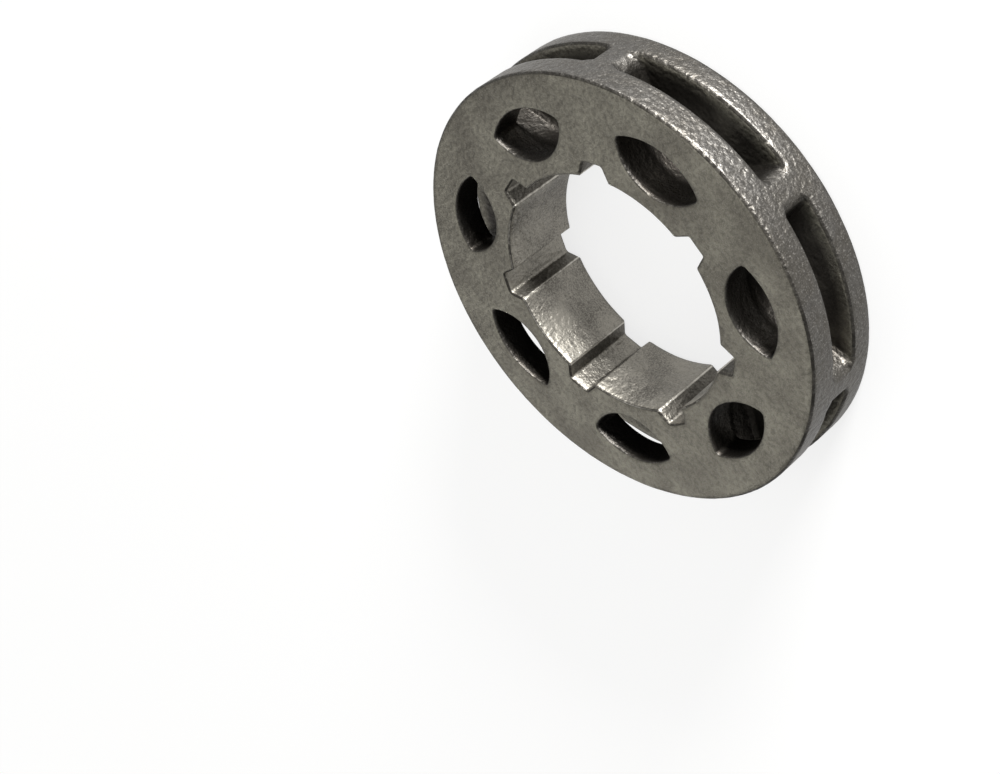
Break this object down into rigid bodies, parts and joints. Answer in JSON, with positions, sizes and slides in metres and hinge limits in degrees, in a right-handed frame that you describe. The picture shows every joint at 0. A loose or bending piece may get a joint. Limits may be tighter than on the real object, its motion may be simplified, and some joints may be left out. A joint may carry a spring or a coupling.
{
  "type": "rim sprocket",
  "caption": "Cast steel rim sprocket: two round flanges with webbed drive pockets between them, lens-shaped windows in one face and a notched bore for a splined hub.",
  "frame": {"origin": "on the axis, at the face with the recessed panel, which lies down", "axes": "+Z along the axis, from the face with the panel to the face with the windows; -Y through the middle of the panel, a web and a bore notch"},
  "size_m": [0.037, 0.037, 0.0071],
  "materials": {
    "cast_steel": "rough, as cast"
  },
  "bodies": {
    "root": {"rim_sprocket": "cast_steel"}
  },
  "joints": []
}
